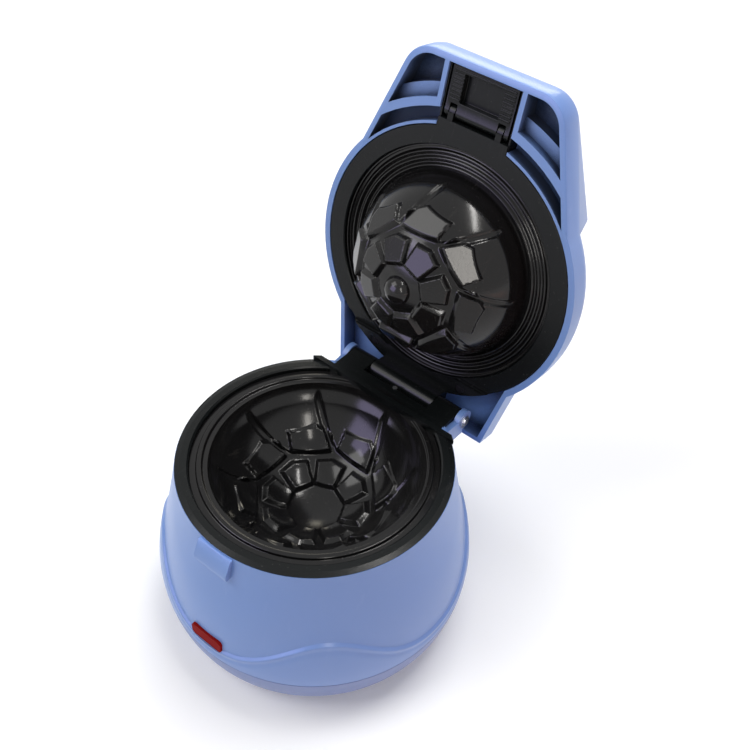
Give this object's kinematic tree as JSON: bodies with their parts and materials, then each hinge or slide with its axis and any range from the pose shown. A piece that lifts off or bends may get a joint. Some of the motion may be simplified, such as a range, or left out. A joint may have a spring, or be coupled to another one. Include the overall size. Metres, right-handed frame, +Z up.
{
  "type": "waffle bowl maker",
  "caption": "Round countertop waffle bowl maker: bulging pot with a patterned bowl mould, hinged lid with a domed mould, hollow front handle and fold-away latch.",
  "frame": {"origin": "on the pot's vertical axis, at the plane that its rubber feet stand on", "axes": "+Z up, -Y to the front where the handle and latch are, +X to the right seen from the front"},
  "size_m": [0.1628, 0.2113, 0.2646],
  "materials": {
    "shell_blue": "satin moulded plastic",
    "cover_blue": "satin moulded plastic",
    "black_plastic": "fine moulded texture",
    "nonstick": "glossy non-stick coating on cast aluminium",
    "rubber": "matt",
    "steel": "turned, zinc plated",
    "black_steel": "turned, blackened",
    "sheet_aluminium": "rolled",
    "heater_sheath": "dull",
    "window_red": "translucent red",
    "ceramic": "fired white",
    "lamp_glass": "clear",
    "fuse_brass": "plain"
  },
  "bodies": {
    "base": {"base_shell": "shell_blue", "bottom_cover": "cover_blue", "rubber_feet": "rubber", "rim_bezel": "black_plastic", "bowl_mould": "nonstick", "bowl_heater": "heater_sheath", "bowl_reflector": "sheet_aluminium", "thermostat": "ceramic", "thermal_fuse": "fuse_brass", "terminal_block": "ceramic", "cord_inlet": "black_plastic", "indicator_window": "window_red", "indicator_lamp": "lamp_glass", "lamp_holder": "ceramic", "case_screws": "steel", "bowl_screws": "steel", "hinge_pin": "steel", "hinge_clips": "steel"},
    "lid": {"lid_shell": "shell_blue", "lid_ring": "black_plastic", "dome_mould": "nonstick", "dome_heater": "heater_sheath", "dome_reflector": "sheet_aluminium", "dome_screws": "steel", "ring_screws": "black_steel", "latch_pin": "steel"},
    "latch": {"latch_flap": "black_plastic"}
  },
  "joints": [
    {"name": "lid_hinge", "type": "hinge", "parent": "base", "child": "lid", "pos_m": [0, 0.071, 0.0993], "axis": [1, 0, 0], "range_deg": [0, 102]},
    {"name": "latch_pivot", "type": "hinge", "parent": "lid", "child": "latch", "pos_m": [0, 0.11213, 0.23941], "axis": [1, 0, 0], "range_deg": [0, 88]}
  ]
}
